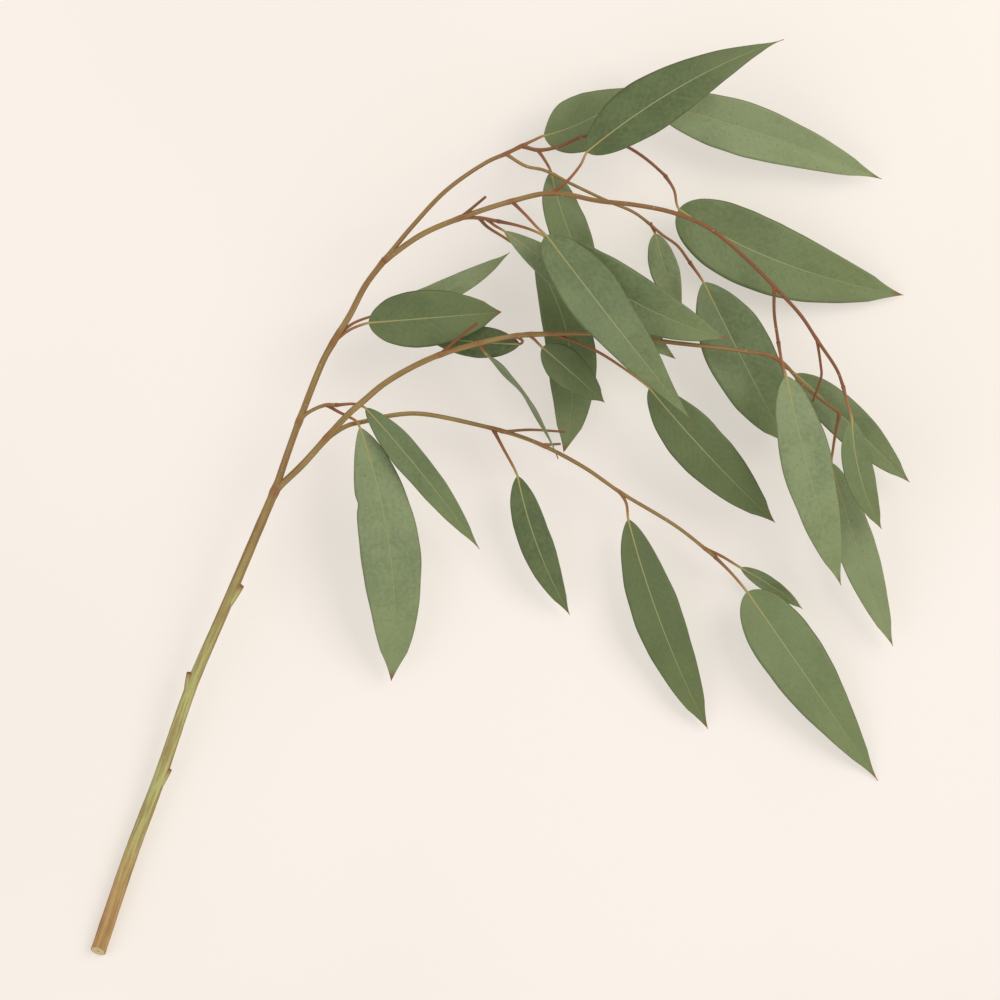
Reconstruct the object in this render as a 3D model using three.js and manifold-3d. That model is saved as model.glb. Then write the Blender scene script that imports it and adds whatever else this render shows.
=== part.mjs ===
// Eucalyptus branch: one cut woody stem with its side twigs, and 27 drooping lance-shaped leaves.
// It lies on a surface, in millimetres with +Z up: the cut end at -X -Y, the leafy head at +X +Y.
// The origin is the middle of its outline, on the surface that it rests on.

import * as THREE from 'three';
import { mergeVertices } from 'three/addons/utils/BufferGeometryUtils.js';
import Module from 'manifold-3d';

const wasm = await Module();
wasm.setup();

// Driving dimensions
const STEM_DIAMETER_AT_CUT = 7.8;
const STEM_DIAMETER_AT_FORK = 4.4;
const CUT_SLANT_DEGREES = 30;
const SCAR_HEEL_DIAMETER = 4.6;
const SCAR_DIAMETER = 3;
const BLADE_THICKNESS = 0.8;
const BLADE_FOLD_DEGREES = 7;
const PETIOLE_DIAMETER = 1.6;
const PETIOLE_END_DIAMETER = 0.9;
const BLADE_TIP_WIDTH = 1.0;
const SEAT_GAP = 0.35;
const OUTLINE_MIDDLE = [0.3, -0.8];

// Fineness of the faceted surfaces
const BLADE_STRIPS = 4;
const BLADE_STEPS = 12;
const TWIG_STEP = 12;
const PETIOLE_STEP = 7;
const STEM_SIDES = 10;
const LIMB_SIDES = 8;
const TWIG_SIDES = 6;
const PETIOLE_SIDES = 5;
const KNOB_RINGS = 4;

// A blade's outline is a power curve that is broadest at a given share of its length
const OUTLINE_POWER = 1.6;
// How far the petiole runs on into the blade as its midrib, as a share of the blade's length
const PETIOLE_RUN = 0.1;
const NODE_SWELLING = 1.25;
// Each leaf's waves start at a place of their own, and its two edges wave out of step
const WAVE_PHASE_BY_LEAF = 1.7;
const WAVE_PHASE_ACROSS = 2.1;

const MATERIALS = {
  wood: new THREE.MeshStandardMaterial({ color: '#a38a56', roughness: 0.7, metalness: 0 }),
  pale: new THREE.MeshStandardMaterial({ color: '#849166', roughness: 0.55, metalness: 0 }),
  mid: new THREE.MeshStandardMaterial({ color: '#727d54', roughness: 0.5, metalness: 0 }),
  dark: new THREE.MeshStandardMaterial({ color: '#626d45', roughness: 0.5, metalness: 0 }),
};

// The woody stem and its twigs: each is a tapered run through points of its middle line
const WOOD = {
  stem: {
    diameters: [STEM_DIAMETER_AT_CUT, STEM_DIAMETER_AT_FORK],
    sides: STEM_SIDES,
    path: [
      [-201, -228, 3.7], [-184, -178, 6.5], [-168.5, -137, 9.5], [-153, -93, 15], [-136, -54, 22],
      [-119.5, -15.5, 28], [-111, 4, 31.8],
    ],
  },
  upper: {
    diameters: [3.6, 2.9],
    sides: LIMB_SIDES,
    path: [
      [-111, 4, 31.8], [-104.5, 23, 33.5], [-99, 38, 36], [-87, 68, 39], [-82, 77, 40], [-74, 90, 42],
      [-66, 105, 44], [-57, 117, 45],
    ],
  },
  top: {
    diameters: [2.4, 2],
    path: [
      [-57, 117, 45], [-43, 134, 44], [-26, 152, 42.5], [-6, 166, 40.5], [3, 170, 39.8], [11, 174, 38.5],
    ],
  },
  topEnd: {
    diameters: [1.9, 1.5],
    path: [
      [11, 174, 38.5], [19, 172, 37], [30, 174, 35], [42, 179, 33], [54, 178, 31], [66, 172.5, 29.5],
      [74, 167, 28.3], [82, 160, 27],
    ],
  },
  crossing: {
    diameters: [1.7, 1.4],
    path: [
      [3, 170, 39.8], [13, 164, 39], [22, 162, 38.5], [34, 156, 38], [53, 147, 37], [67, 141, 35],
      [81, 130, 33], [88, 125, 32], [94, 117, 31],
    ],
  },
  arching: {
    diameters: [2.9, 1.6],
    sides: LIMB_SIDES,
    path: [
      [-57, 117, 45], [-38, 130, 47.5], [-19, 138, 50], [6, 146, 53], [26, 150, 54.5], [49, 146, 55.5],
      [67, 144, 56], [86, 140, 56], [104, 132, 56], [122, 117, 55], [135, 104, 54], [148, 90, 53],
      [156, 78, 52.5], [166, 63, 51.5], [169, 55, 51],
    ],
  },
  archingDrop: { diameters: [1.7, 1.5], path: [[135, 104, 54], [135, 91, 53.5], [137, 77, 52.5]] },
  archingSprig: {
    diameters: [1.4, 1.2],
    path: [[156, 78, 52.5], [158, 66, 49], [158.5, 60, 46], [154.5, 48, 43]],
  },
  archingSpur: { diameters: [1.8, 1.6], path: [[-19, 138, 50], [-10, 138, 48.5], [-1, 136.5, 46.5]] },
  archingStub: { diameters: [1.7, 1.3], path: [[-19, 138, 50], [-13, 143, 52], [-7, 148, 53]] },
  middle: {
    diameters: [3.5, 1.6],
    sides: LIMB_SIDES,
    path: [
      [-111, 4, 31.8], [-98, 16, 34.5], [-87, 28, 38], [-75, 41, 42.5], [-67, 48, 44], [-56, 57, 45.5],
      [-36, 68, 47], [-19, 74, 47], [8, 80, 46.5], [26, 81, 45.5], [55, 81, 43], [84, 77, 41],
      [118, 73, 39.5], [137, 69, 39], [151, 55, 38.5], [168, 42, 38],
    ],
  },
  middleStub: { diameters: [1.7, 1.3], path: [[-29, 71, 47], [-20, 79, 50], [-11, 86, 51]] },
  low: {
    diameters: [2.4, 1.7],
    path: [
      [-85, 30, 38.7], [-75, 36, 34.5], [-67, 38, 31], [-54, 41, 27], [-40, 42, 25], [-13, 37, 23],
      [15, 29, 21.5], [41, 16, 20.5], [60, 3, 20], [88, -14, 19], [107, -29, 19],
    ],
  },
  lowShoot: { diameters: [1.5, 1.2], path: [[1, 33, 22], [15, 34, 24], [32, 33, 25]] },
  lowStub: { diameters: [1.5, 1.2], path: [[22, 26.5, 21], [30, 27, 22.5]] },
  pairSpur: { diameters: [1.9, 1.7], path: [[-99, 38, 36], [-95, 42, 38], [-86, 46, 39.5], [-81, 46, 39.5]] },
};

// Old leaf bases on the bare stem, by turns on its left and its right side: each runs up from its heel
// in the stem to its broken end
const SCARS = [
  { heel: [-187.6, -189, 6], end: [-186, -177.5, 6.9] },
  { heel: [-172, -146.5, 9], end: [-164.4, -134.6, 10.2] },
  { heel: [-155, -98, 14.3], end: [-154, -86.5, 16.5] },
  { heel: [-135.6, -53.5, 22], end: [-127.9, -43, 24.1] },
];

// Leaves: a blade from base to tip through the middle of its midrib, and a petiole from its twig.
// width is the flat blade's, broadest the share of the length where it is reached, roll and twist
// turn the blade about its midrib in degrees, and wave is the rise of its edges. Where power is given,
// it takes OUTLINE_POWER's place: a lower one makes the blade's ends fuller, a higher one slimmer.
const LEAVES = [
  { name: 'leaf_01', tone: 'pale', width: 30, broadest: 0.46, roll: -8, twist: 12, wave: 1.4, waves: 2.6,
    attach: [-85, 46, 39.5], via: [[-80, 43, 37.5], [-75, 40.5, 37.5], [-70.5, 38, 36.5]],
    base: [-69, 35, 35], middle: [-54, -29, 28], tip: [-54, -91, 7] },
  { name: 'leaf_02', tone: 'mid', width: 15.5, broadest: 0.4, roll: 14, twist: -10, wave: 0.9, waves: 2.2,
    attach: [-81, 46, 39.5], via: [[-71, 46.5, 39.5]],
    base: [-66, 44.5, 39], middle: [-38, 12, 38], tip: [-10, -25, 26] },
  { name: 'leaf_03', tone: 'dark', width: 17, broadest: 0.42, roll: 10, twist: 8, wave: 0.8, waves: 2,
    attach: [-3, 34, 22.3], via: [[1.5, 25.5, 22]],
    base: [9, 11, 20], middle: [19, -24, 17], tip: [35, -58, 6] },
  { name: 'leaf_04', tone: 'dark', width: 24.5, broadest: 0.43, roll: 9, twist: -12, wave: 1.1, waves: 2.4,
    attach: [60, 3, 20], via: [[63, -2.5, 19.5]],
    base: [64, -10.5, 18.5], middle: [81, -64, 15], tip: [104, -115, 3] },
  { name: 'leaf_05', tone: 'mid', width: 31.5, broadest: 0.34, roll: -6, twist: 8, wave: 1.2, waves: 2.3,
    attach: [107, -29, 19], via: [[115, -37, 20]],
    base: [123, -46.5, 19.5], middle: [153.5, -90, 14], tip: [189, -141, 0.4] },
  { name: 'leaf_06', tone: 'mid', width: 8, broadest: 0.42, roll: 8, twist: 0, wave: 0.6, waves: 1.6,
    attach: [102, -25, 19], via: [[110, -28.5, 15.5]],
    base: [120, -34.5, 13.5], middle: [136, -44, 12], tip: [151, -55, 7] },
  { name: 'leaf_07', tone: 'dark', width: 28.5, broadest: 0.42, roll: 4, twist: 8, wave: 1.1, waves: 2,
    power: 1.4, attach: [-82, 77, 40], via: [[-74, 83, 42]],
    base: [-64.5, 86.5, 43], middle: [-33, 89, 44], tip: [1, 92, 39] },
  { name: 'leaf_08', tone: 'pale', width: 12, broadest: 0.42, roll: -8, twist: 0, wave: 0.9, waves: 2,
    attach: [-79.5, 81, 40.5], via: [[-72, 86.5, 38.5]],
    base: [-63, 90, 36.5], middle: [-27, 102.5, 31], tip: [5, 122, 20] },
  { name: 'leaf_09', tone: 'dark', width: 16, broadest: 0.42, roll: 8, twist: 0, wave: 0.7, waves: 2,
    attach: [8, 80, 46.5], via: [[11.5, 77.5, 44]],
    base: [10, 76, 41.5], middle: [-14, 77.5, 34.5], tip: [-38, 81, 26] },
  { name: 'leaf_10', tone: 'mid', width: 15, broadest: 0.42, roll: 82, twist: 10, wave: 0.6, waves: 2,
    attach: [-10, 76, 47], via: [[-8.5, 73.5, 45]],
    base: [-6.5, 71, 42.5], middle: [13, 51, 40], tip: [29, 19.5, 33] },
  { name: 'leaf_11', tone: 'dark', width: 19, broadest: 0.42, roll: -12, twist: 0, wave: 0.8, waves: 1.8,
    attach: [15, 80.3, 46.2], via: [[18, 77.5, 44]],
    base: [21, 74.5, 42], middle: [35, 62.5, 38], tip: [52, 47.5, 30] },
  { name: 'leaf_12', tone: 'mid', width: 25, broadest: 0.5, roll: -10, twist: 0, wave: 1.1, waves: 2.4,
    attach: [-10, 138, 48.5], via: [[-6, 134, 40], [4, 128, 31]],
    base: [17.5, 118.5, 24], middle: [35, 73.5, 18], tip: [32, 23, 9] },
  { name: 'leaf_13', tone: 'pale', width: 19, broadest: 0.5, roll: 6, twist: 0, wave: 0.7, waves: 2,
    attach: [-6, 137.3, 47.5], via: [[-2.5, 134.5, 45]],
    base: [2, 132, 42.5], middle: [45, 101, 37.5], tip: [87, 69, 33] },
  { name: 'leaf_14', tone: 'mid', width: 29, broadest: 0.3, roll: -14, twist: 16, wave: 1.3, waves: 2.6,
    power: 1.9, attach: [6, 146, 53], via: [[13, 139, 55], [19, 132.5, 56]],
    base: [23, 129, 56], middle: [58.5, 82.5, 64], tip: [95.5, 37, 47] },
  { name: 'leaf_15', tone: 'mid', width: 28, broadest: 0.42, roll: 8, twist: 0, wave: 1.1, waves: 2.2,
    attach: [-1, 136.5, 46.5], via: [[8, 134.5, 48.5], [16, 132, 49]],
    base: [22, 129, 48.5], middle: [63, 98.5, 50], tip: [112.5, 78.5, 44.5] },
  { name: 'leaf_16', tone: 'dark', width: 26.5, broadest: 0.42, roll: 10, twist: -10, wave: 1.2, waves: 2.4,
    attach: [26, 81, 45.5], via: [[38, 77, 43], [49, 72, 41.5], [63, 63, 40]],
    base: [74, 54.5, 38], middle: [103.5, 21, 33], tip: [137, -12, 15] },
  { name: 'leaf_17', tone: 'mid', width: 28, broadest: 0.42, roll: 8, twist: 0, wave: 1.1, waves: 1.8,
    attach: [11, 174, 38.5], via: [[17, 177, 35.5]],
    base: [22, 179.5, 31], middle: [43.5, 188, 17], tip: [72, 205, 0.4] },
  { name: 'leaf_18', tone: 'dark', width: 28, broadest: 0.3, roll: -10, twist: 20, wave: 1.1, waves: 2.2,
    power: 2, attach: [26, 150, 54.5], via: [[33.5, 156, 56], [40, 164, 56.5]],
    base: [43, 170, 56.5], middle: [90.5, 203, 58], tip: [140, 226, 45] },
  { name: 'leaf_19', tone: 'pale', width: 27, broadest: 0.38, roll: 8, twist: 0, wave: 1, waves: 2.4,
    attach: [51, 178.5, 31.5], via: [[64, 187, 29]],
    base: [77, 195.5, 26], middle: [131, 180.5, 20], tip: [190.5, 159.3, 6] },
  { name: 'leaf_20', tone: 'mid', width: 21, broadest: 0.42, roll: -16, twist: 20, wave: 0.9, waves: 2,
    attach: [19, 172, 37], via: [[22.5, 167, 35]],
    base: [25.5, 161.5, 32], middle: [35, 130, 29], tip: [51, 99, 22] },
  { name: 'leaf_21', tone: 'mid', width: 37, broadest: 0.36, roll: 8, twist: 6, wave: 1.3, waves: 2.5,
    power: 1.4, attach: [82, 160, 27], via: [[86.5, 153, 25]],
    base: [89, 143.5, 23], middle: [139.5, 117.5, 17], tip: [201.5, 101.5, 3] },
  { name: 'leaf_22', tone: 'mid', width: 34.5, broadest: 0.45, roll: -8, twist: 0, wave: 1.2, waves: 2.2,
    attach: [94, 117, 31], via: [],
    base: [101, 107, 29], middle: [121.5, 66.5, 26], tip: [143, 27, 15] },
  { name: 'leaf_23', tone: 'pale', width: 14.5, broadest: 0.42, roll: 10, twist: 0, wave: 0.6, waves: 1.6,
    attach: [74.5, 136, 34], via: [],
    base: [77, 131, 32], middle: [82.5, 111, 30], tip: [89.5, 91, 25] },
  { name: 'leaf_24', tone: 'pale', width: 25.5, broadest: 0.4, roll: -10, twist: 14, wave: 1.2, waves: 2.8,
    attach: [137, 77, 52.5], via: [[139, 66, 52.5]],
    base: [141, 60, 51.5], middle: [153, 9, 50], tip: [169, -43, 30] },
  { name: 'leaf_25', tone: 'pale', width: 19.5, broadest: 0.42, roll: 10, twist: 0, wave: 1, waves: 2.4,
    attach: [168, 42, 38], via: [[166, 32, 35], [165, 24, 31]],
    base: [164.5, 17.5, 27], middle: [178.5, -28, 22], tip: [196, -73.5, 9] },
  { name: 'leaf_26', tone: 'mid', width: 15, broadest: 0.42, roll: 8, twist: 10, wave: 0.8, waves: 2,
    attach: [169, 55, 51], via: [[171, 47, 50.5]],
    base: [173.5, 38.5, 49.5], middle: [177.5, 11, 48], tip: [188.5, -15, 39] },
  { name: 'leaf_27', tone: 'mid', width: 20, broadest: 0.42, roll: -6, twist: 0, wave: 0.9, waves: 2,
    attach: [137, 69, 39], via: [[140.5, 65.5, 34.5]],
    base: [146.5, 61.5, 30], middle: [174.5, 36, 26], tip: [204, 8, 14] },
];

const UP = new THREE.Vector3(0, 0, 1);

// A point of a list of three numbers
function point(numbers) {
  return new THREE.Vector3(...numbers);
}

// A closed geometry as a solid that can be joined and cut
function toSolid(geometry) {
  const bare = geometry.clone();
  bare.deleteAttribute('normal');
  bare.deleteAttribute('uv');
  const merged = mergeVertices(bare);
  return new wasm.Manifold(new wasm.Mesh({
    numProp: 3,
    vertProperties: new Float32Array(merged.attributes.position.array),
    triVerts: new Uint32Array(merged.index.array),
  }));
}

// A solid as a geometry for a mesh
function toGeometry(solid) {
  const mesh = solid.getMesh();
  const geometry = new THREE.BufferGeometry();
  geometry.setAttribute('position', new THREE.BufferAttribute(new Float32Array(mesh.vertProperties), 3));
  geometry.setIndex(new THREE.BufferAttribute(new Uint32Array(mesh.triVerts), 1));
  geometry.computeVertexNormals();
  return geometry;
}

// A tapered closed tube: a cylinder bent along a curve through the path's points
function taperedTube(path, startDiameter, endDiameter, sides, step) {
  const curve = new THREE.CatmullRomCurve3(path.map(point), false, 'centripetal');
  const steps = Math.max(path.length + 1, Math.round(curve.getLength() / step));
  const tube = new THREE.CylinderGeometry(startDiameter / 2, endDiameter / 2, 1, sides, steps);
  const frames = curve.computeFrenetFrames(steps, false);
  const vertices = tube.attributes.position;
  for (let i = 0; i < vertices.count; i++) {
    const ring = Math.round((0.5 - vertices.getY(i)) * steps);
    const place = curve.getPointAt(ring / steps);
    place.addScaledVector(frames.normals[ring], vertices.getX(i));
    place.addScaledVector(frames.binormals[ring], vertices.getZ(i));
    vertices.setXYZ(i, place.x, place.y, place.z);
  }
  return toSolid(tube);
}

// The largest body of a solid, without the scraps that a cut leaves
function largestBody(solid) {
  const bodies = solid.decompose();
  bodies.sort((one, other) => other.volume() - one.volume());
  return bodies[0];
}

// A ball, for a node where a twig ends
function ball(centre, diameter) {
  const sphere = new THREE.SphereGeometry(diameter / 2, TWIG_SIDES, KNOB_RINGS);
  return toSolid(sphere.translate(...centre));
}

// The whole woody skeleton, made thicker all round by a clearance
function skeleton(clearance) {
  let whole = null;
  for (const { path, diameters, sides } of Object.values(WOOD)) {
    const [start, end] = diameters.map((diameter) => diameter + 2 * clearance);
    const tube = taperedTube(path, start, end, sides ?? TWIG_SIDES, TWIG_STEP);
    const knob = ball(path.at(-1), diameters[1] * NODE_SWELLING + 2 * clearance);
    whole = whole ? whole.add(tube) : tube;
    whole = whole.add(knob);
  }
  return whole;
}

// The woody piece: the skeleton with its leaf scars and its slanting cut
function woodySolid() {
  let solid = skeleton(0);
  for (const { heel, end } of SCARS) {
    solid = solid.add(taperedTube([heel, end], SCAR_HEEL_DIAMETER, SCAR_DIAMETER, TWIG_SIDES, TWIG_STEP));
  }
  const [first, second] = WOOD.stem.path.map(point);
  const along = second.clone().sub(first).normalize();
  const slant = THREE.MathUtils.degToRad(CUT_SLANT_DEGREES);
  const outward = along.clone().multiplyScalar(-Math.cos(slant)).addScaledVector(UP, Math.sin(slant));
  outward.normalize();
  const size = 3 * STEM_DIAMETER_AT_CUT;
  const setBack = STEM_DIAMETER_AT_CUT / 2 * Math.tan(slant);
  const middle = first.clone().addScaledVector(along, setBack).addScaledVector(outward, size / 2);
  const offcut = new THREE.BoxGeometry(size, size, size);
  offcut.applyQuaternion(new THREE.Quaternion().setFromUnitVectors(UP, outward));
  offcut.translate(middle.x, middle.y, middle.z);
  return solid.subtract(toSolid(offcut));
}

// The middle line of a blade: a parabola through its base, middle and tip
function midrib(leaf) {
  const base = point(leaf.base);
  const tip = point(leaf.tip);
  const control = point(leaf.middle).multiplyScalar(2).addScaledVector(base, -0.5).addScaledVector(tip, -0.5);
  return new THREE.QuadraticBezierCurve3(base, control, tip);
}

// The outline of a blade: its width at a share of its length, as a share of the greatest width
function outline(leaf, along) {
  const power = leaf.power ?? OUTLINE_POWER;
  const rise = power * leaf.broadest;
  const fall = power - rise;
  const greatest = leaf.broadest ** rise * (1 - leaf.broadest) ** fall;
  return along ** rise * (1 - along) ** fall / greatest;
}

// A point of a blade: along runs from base to tip, across from -1 to 1, lift is off its middle surface
function bladePoint(leaf, order, curve, along, across, lift) {
  const forward = curve.getTangent(along);
  const flatSide = UP.clone().cross(forward).normalize();
  const flatNormal = forward.clone().cross(flatSide);
  const roll = THREE.MathUtils.degToRad(leaf.roll + leaf.twist * (along - 0.5));
  const side = flatSide.clone().multiplyScalar(Math.cos(roll)).addScaledVector(flatNormal, Math.sin(roll));
  const normal = forward.clone().cross(side);
  const share = outline(leaf, along);
  const half = Math.max(leaf.width * share, BLADE_TIP_WIDTH) / 2;
  const fold = THREE.MathUtils.degToRad(BLADE_FOLD_DEGREES);
  const phase = order * WAVE_PHASE_BY_LEAF + (across > 0 ? 0 : WAVE_PHASE_ACROSS);
  const wave = leaf.wave * share * across ** 2 * Math.sin(2 * Math.PI * leaf.waves * along + phase);
  const rise = Math.abs(across) * half * Math.sin(fold) + wave + lift;
  const place = curve.getPoint(along);
  place.addScaledVector(side, across * half * Math.cos(fold));
  return place.addScaledVector(normal, rise);
}

// A blade: a waved sheet with the same triangles on both faces, closed by a rim
function bladeSolid(leaf, order) {
  const sheet = new THREE.PlaneGeometry(2, 1, BLADE_STRIPS, BLADE_STEPS);
  const grid = sheet.attributes.position;
  const curve = midrib(leaf);
  const vertices = [];
  for (const lift of [BLADE_THICKNESS / 2, -BLADE_THICKNESS / 2]) {
    for (let i = 0; i < grid.count; i++) {
      const along = 0.5 - 0.5 * Math.cos(Math.PI * (0.5 - grid.getY(i)));
      vertices.push(...bladePoint(leaf, order, curve, along, grid.getX(i), lift));
    }
  }
  const upper = sheet.index.array;
  const triangles = Array.from(upper);
  const edges = new Set();
  for (let i = 0; i < upper.length; i += 3) {
    const corners = [upper[i], upper[i + 1], upper[i + 2]];
    triangles.push(corners[0] + grid.count, corners[2] + grid.count, corners[1] + grid.count);
    corners.forEach((corner, place) => edges.add(`${corner} ${corners[(place + 1) % 3]}`));
  }
  for (const edge of edges) {
    const [from, to] = edge.split(' ').map(Number);
    if (!edges.has(`${to} ${from}`)) {
      triangles.push(to, from, from + grid.count, to, from + grid.count, to + grid.count);
    }
  }
  const geometry = new THREE.BufferGeometry();
  geometry.setAttribute('position', new THREE.Float32BufferAttribute(vertices, 3));
  geometry.setIndex(triangles);
  return toSolid(geometry);
}

// A leaf: its blade joined to its petiole, which ends just clear of the twig that carries it
function leafSolid(leaf, order, woodClearance) {
  const inBlade = midrib(leaf).getPoint(PETIOLE_RUN).toArray();
  const path = [leaf.attach, ...leaf.via, leaf.base, inBlade];
  const petiole = taperedTube(path, PETIOLE_DIAMETER, PETIOLE_END_DIAMETER, PETIOLE_SIDES, PETIOLE_STEP);
  return largestBody(petiole.subtract(woodClearance)).add(bladeSolid(leaf, order));
}

// The named mesh of a solid
function named(name, solid, material) {
  const mesh = new THREE.Mesh(toGeometry(solid), material);
  mesh.name = name;
  return mesh;
}

const branch = new THREE.Group();
branch.position.set(-OUTLINE_MIDDLE[0], -OUTLINE_MIDDLE[1], 0);
branch.add(named('stem_with_twigs', woodySolid(), MATERIALS.wood));
const woodClearance = skeleton(SEAT_GAP);
LEAVES.forEach((leaf, order) => {
  branch.add(named(leaf.name, leafSolid(leaf, order, woodClearance), MATERIALS[leaf.tone]));
});

export default branch;
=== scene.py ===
"""Eucalyptus branch: veined leaves on petioles, a bark-covered stem with twigs, floor, light and camera."""

import logging
import math
import random
from dataclasses import dataclass
from enum import Enum

import bmesh
import bpy
from mathutils import Matrix, Vector, noise


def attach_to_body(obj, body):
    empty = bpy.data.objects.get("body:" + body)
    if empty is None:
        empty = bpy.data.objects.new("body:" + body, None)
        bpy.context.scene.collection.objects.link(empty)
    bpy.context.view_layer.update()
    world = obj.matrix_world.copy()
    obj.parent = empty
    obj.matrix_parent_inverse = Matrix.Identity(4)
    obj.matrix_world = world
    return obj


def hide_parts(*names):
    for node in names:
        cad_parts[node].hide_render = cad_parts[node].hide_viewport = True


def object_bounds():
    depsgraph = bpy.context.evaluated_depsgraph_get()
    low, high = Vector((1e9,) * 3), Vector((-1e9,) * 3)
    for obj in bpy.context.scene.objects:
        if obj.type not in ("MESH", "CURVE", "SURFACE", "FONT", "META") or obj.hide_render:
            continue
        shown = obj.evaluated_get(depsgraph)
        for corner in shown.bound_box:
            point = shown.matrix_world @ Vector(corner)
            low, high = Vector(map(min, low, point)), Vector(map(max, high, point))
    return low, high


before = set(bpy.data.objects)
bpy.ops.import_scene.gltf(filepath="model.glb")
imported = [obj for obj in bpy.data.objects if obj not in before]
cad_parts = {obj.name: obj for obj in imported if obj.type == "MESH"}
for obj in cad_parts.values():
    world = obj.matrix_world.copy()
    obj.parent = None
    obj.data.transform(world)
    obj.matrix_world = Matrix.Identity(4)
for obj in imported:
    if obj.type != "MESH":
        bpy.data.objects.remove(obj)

LOG = logging.getLogger("branch")
CAD_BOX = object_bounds()

Point = tuple[float, float, float]
Socket = bpy.types.NodeSocket
Value = Socket | float | tuple[float, ...]

# Lengths are written in millimetres, in the drawing whose middle is moved to the origin
MM = 0.001
OUTLINE_MIDDLE = Vector((0.3, -0.8, 0.0))
UP = Vector((0.0, 0.0, 1.0))
BODY = "root"


class Tone(Enum):
    """How pale a leaf is."""

    PALE = "leaf_pale"
    MID = "leaf_mid"
    DARK = "leaf_dark"


class Face(Enum):
    """The faces of a leaf that take a finish of their own; the value is the mesh's material number."""

    UPPER = 0
    UNDER = 1
    RIB = 2


class WoodFace(Enum):
    """The faces of the woody piece; the value is the mesh's material number."""

    BARK = 0
    CUT = 1


def linear(code: str) -> tuple[float, float, float, float]:
    """Turn a colour written as six hexadecimal digits into linear light.

    Args:
        code: the colour as on a screen, such as "849166".

    Returns:
        Red, green, blue and an alpha of 1.
    """
    shares = [int(code[i:i + 2], 16) / 255 for i in (0, 2, 4)]
    red, green, blue = [s / 12.92 if s <= 0.04045 else ((s + 0.055) / 1.055) ** 2.4 for s in shares]
    return red, green, blue, 1.0


def to_frame(place: Vector) -> Vector:
    """Move a point of the drawing, in millimetres, into the shared frame, in metres."""
    return (place - OUTLINE_MIDDLE) * MM


def curve_point(points: list[Vector], place: float) -> Vector:
    """Find a point of the smooth curve through a list of points.

    Args:
        points: the points that the curve goes through.
        place: from 0 at the first point to the number of the last one.

    Returns:
        The point of the centripetal curve there.
    """
    last = len(points) - 1
    first = min(int(place), last - 1)
    t = place - first
    here, there = points[first], points[first + 1]
    before = points[first - 1] if first > 0 else 2 * here - there
    after = points[first + 2] if first + 2 <= last else 2 * there - here
    d0, d1, d2 = [math.sqrt((b - a).length) for a, b in ((before, here), (here, there), (there, after))]
    leave = ((here - before) / d0 - (there - before) / (d0 + d1) + (there - here) / d1) * d1
    reach = ((there - here) / d1 - (after - here) / (d1 + d2) + (after - there) / d2) * d1
    bend = leave * (t ** 3 - 2 * t ** 2 + t) + reach * (t ** 3 - t ** 2)
    return here * (2 * t ** 3 - 3 * t ** 2 + 1) + there * (3 * t ** 2 - 2 * t ** 3) + bend


def even_points(points: list[Vector], step: float) -> list[Vector]:
    """Walk the smooth curve through points in even steps.

    Args:
        points: the points that the curve goes through.
        step: the length of a step, in the points' own unit.

    Returns:
        The points of the walk, from the first point to the last one.
    """
    parts = 16 * (len(points) - 1)
    fine = [curve_point(points, (len(points) - 1) * i / parts) for i in range(parts + 1)]
    runs = [0.0]
    for one, other in zip(fine, fine[1:]):
        runs.append(runs[-1] + (other - one).length)
    count = max(3, round(runs[-1] / step))
    walk = []
    part = 0
    for i in range(count + 1):
        goal = runs[-1] * i / count
        while part < parts - 1 and runs[part + 1] < goal:
            part += 1
        share = (goal - runs[part]) / max(runs[part + 1] - runs[part], 1e-9)
        walk.append(fine[part].lerp(fine[part + 1], share))
    return walk


def ring_frames(walk: list[Vector]) -> list[Matrix]:
    """Give each point of a walk an upright frame that turns as little as it can.

    Args:
        walk: the points, in metres.

    Returns:
        One matrix for each point, with Z along the walk.
    """
    frames = []
    side = None
    for i, place in enumerate(walk):
        forward = (walk[min(i + 1, len(walk) - 1)] - walk[max(i - 1, 0)]).normalized()
        if side is None:
            side = forward.orthogonal().normalized()
        side = (side - forward * side.dot(forward)).normalized()
        turn = Matrix((side, forward.cross(side), forward)).transposed().to_4x4()
        frames.append(Matrix.Translation(place) @ turn)
    return frames


def sweep(bm: bmesh.types.BMesh, walk: list[Vector], radii: list[float], sides: int,
          material: int) -> list[list[bmesh.types.BMVert]]:
    """Extrude a ring along a walk into a closed tapered tube.

    Args:
        bm: the mesh that the tube is added to.
        walk: the points of its middle line, in metres.
        radii: its radius at each point, in metres.
        sides: the number of its sides.
        material: the material number of its faces.

    Returns:
        The rings of vertices, in order.
    """
    places = [turn @ Matrix.Diagonal((r, r, r, 1)) for turn, r in zip(ring_frames(walk), radii)]
    old_faces = set(bm.faces)
    start = bmesh.ops.create_circle(bm, cap_ends=True, segments=sides, radius=1.0, matrix=places[0])
    rings = [start["verts"]]
    edges = list({edge for vert in start["verts"] for edge in vert.link_edges})
    for before, after in zip(places, places[1:]):
        grown = bmesh.ops.extrude_edge_only(bm, edges=edges)["geom"]
        verts = [item for item in grown if isinstance(item, bmesh.types.BMVert)]
        edges = [item for item in grown if isinstance(item, bmesh.types.BMEdge)]
        bmesh.ops.transform(bm, matrix=after @ before.inverted(), verts=verts)
        rings.append(verts)
    bmesh.ops.edgeloop_fill(bm, edges=edges)
    faces = [face for face in bm.faces if face not in old_faces]
    bmesh.ops.recalc_face_normals(bm, faces=faces)
    for face in faces:
        face.material_index = material
        face.smooth = True
    return rings


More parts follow.
